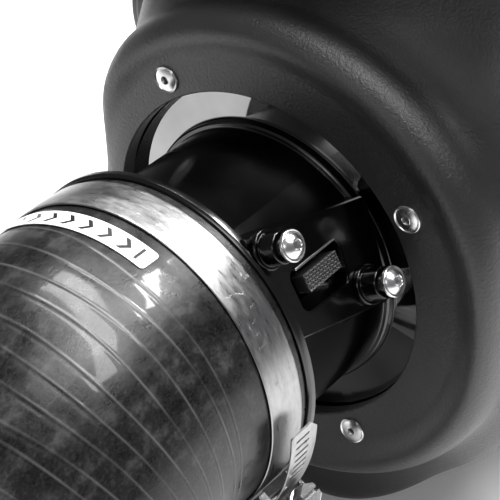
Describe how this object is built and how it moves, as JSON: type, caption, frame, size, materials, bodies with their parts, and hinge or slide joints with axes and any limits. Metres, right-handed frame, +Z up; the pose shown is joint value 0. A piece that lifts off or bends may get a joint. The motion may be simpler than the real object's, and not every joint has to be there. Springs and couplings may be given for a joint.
{
  "type": "engine air intake box",
  "caption": "Moulded engine air intake box with lift-off lid and cone filter, airflow-meter housing riveted in its front wall, and a moulded elbow hose held by worm clamps.",
  "frame": {"origin": "on the base plane, below the intake axis, halfway along the airbox", "axes": "+Z up, +Y from the hose towards the airbox, +X towards the sensor pad's side"},
  "size_m": [0.266, 0.4995, 0.2643],
  "materials": {
    "moulded_black": "satin moulded grain",
    "seal_rubber": "matte",
    "brass": "machined",
    "stainless": "brushed, lightly scratched",
    "zinc_steel": "zinc plated",
    "black_anodised": "satin black anodised",
    "honeycomb_alloy": "thin foil cells",
    "woven_insert": "woven",
    "silicone_hose": "wrapped, semi-gloss",
    "label_film": "printed film",
    "filter_rubber": "moulded urethane",
    "filter_media": "pleated dry media",
    "cage_mesh": "woven wire"
  },
  "bodies": {
    "airbox": {"airbox_tub": "moulded_black", "lid_seal": "seal_rubber", "lid_inserts": "brass", "inlet_stub": "moulded_black", "inlet_screws": "stainless", "mount_ears": "moulded_black", "ear_grommets": "seal_rubber", "ear_sleeves": "zinc_steel", "drain_grommet": "seal_rubber", "meter_housing": "black_anodised", "port_gasket": "seal_rubber", "face_rivets": "stainless", "flow_screen": "honeycomb_alloy", "screen_circlip": "zinc_steel", "slot_screen": "woven_insert", "sensor_spacers": "black_anodised", "sensor_screws": "stainless", "hose_bend": "silicone_hose", "hose_leg": "silicone_hose", "hose_label": "label_film", "rim_clamp_band": "stainless", "rim_clamp_saddle": "stainless", "end_clamp_band": "stainless", "end_clamp_saddle": "stainless", "filter_collar": "filter_rubber", "filter_media": "filter_media", "filter_cage": "cage_mesh", "filter_cap": "filter_rubber", "filter_clamp_band": "stainless", "filter_clamp_saddle": "stainless"},
    "lid": {"airbox_lid": "moulded_black", "lid_screws": "stainless"},
    "rim_clamp_tail": {"rim_clamp_tail": "stainless"},
    "rim_clamp_screw": {"rim_clamp_screw": "zinc_steel"},
    "end_clamp_tail": {"end_clamp_tail": "stainless"},
    "end_clamp_screw": {"end_clamp_screw": "zinc_steel"},
    "filter_clamp_tail": {"filter_clamp_tail": "stainless"},
    "filter_clamp_screw": {"filter_clamp_screw": "zinc_steel"}
  },
  "joints": [
    {"name": "lid_lift", "type": "slide", "parent": "airbox", "child": "lid", "axis": [0, 0, 1], "range_m": [0, 0.12]},
    {"name": "rim_screw_turn", "type": "hinge", "parent": "airbox", "child": "rim_clamp_screw", "pos_m": [0.0555, -0.1984, 0.08756], "axis": [0.5592, 0, 0.829], "range_deg": [-720, 720]},
    {"name": "rim_band_slide", "type": "hinge", "parent": "airbox", "child": "rim_clamp_tail", "pos_m": [0, -0.1984, 0.125], "axis": [0, -1, 0], "range_deg": [-4.9, 4.9]},
    {"name": "end_screw_turn", "type": "hinge", "parent": "airbox", "child": "end_clamp_screw", "pos_m": [-0.06291, -0.3209, 0.0295], "axis": [0.342, -0.9397, 0], "range_deg": [-720, 720]},
    {"name": "end_band_slide", "type": "hinge", "parent": "airbox", "child": "end_clamp_tail", "pos_m": [0, -0.298, 0.0295], "axis": [0, 0, 1], "range_deg": [-4.9, 4.9]},
    {"name": "filter_screw_turn", "type": "hinge", "parent": "airbox", "child": "filter_clamp_screw", "pos_m": [0.03347, -0.102, 0.18298], "axis": [-0.866, 0, 0.5], "range_deg": [-720, 720]},
    {"name": "filter_band_slide", "type": "hinge", "parent": "airbox", "child": "filter_clamp_tail", "pos_m": [0, -0.102, 0.125], "axis": [0, -1, 0], "range_deg": [-4.9, 4.9]}
  ],
  "couplings": [
    {"joint": "rim_band_slide", "follows": "rim_screw_turn", "ratio": 0.006764},
    {"joint": "end_band_slide", "follows": "end_screw_turn", "ratio": 0.006764},
    {"joint": "filter_band_slide", "follows": "filter_screw_turn", "ratio": 0.006764}
  ]
}
